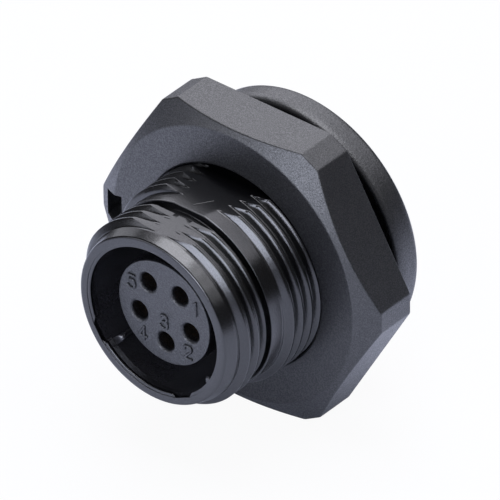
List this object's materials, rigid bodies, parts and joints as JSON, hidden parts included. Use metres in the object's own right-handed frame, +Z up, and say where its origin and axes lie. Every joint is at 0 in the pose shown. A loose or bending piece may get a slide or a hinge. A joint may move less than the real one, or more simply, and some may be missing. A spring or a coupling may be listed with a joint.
{
  "type": "waterproof power connector",
  "caption": "Round panel-mount connector receptacle with a threaded nose, socket contacts in a recessed insert, a hex panel nut and a rear flange.",
  "frame": {"origin": "on the connector's axis, in the plane where the flange's front face meets the panel", "axes": "-Y along the axis out of the mouth, +Y towards the solder cups, +Z up through the flat on the threads, +X to the right seen from the mouth"},
  "size_m": [0.0256, 0.0219, 0.0232],
  "materials": {
    "shell_plastic": "satin black moulding",
    "nut_plastic": "fine-textured matte black moulding",
    "insulator": "matt dark grey moulding",
    "rubber": "matt black rubber",
    "contact_metal": "gold-plated turned brass"
  },
  "bodies": {
    "receptacle": {"shell": "shell_plastic", "panel_gasket": "rubber", "insert": "insulator", "rear_insulator": "insulator", "insert_seal": "rubber", "retaining_ring": "shell_plastic", "contact_1": "contact_metal", "contact_2": "contact_metal", "contact_3": "contact_metal", "contact_4": "contact_metal", "contact_5": "contact_metal"},
    "nut": {"hex_nut": "nut_plastic"}
  },
  "joints": [
    {"name": "nut_turn", "type": "hinge", "parent": "receptacle", "child": "nut", "pos_m": [0, -0.0044, 0], "axis": [0, -1, 0], "continuous": true}
  ]
}
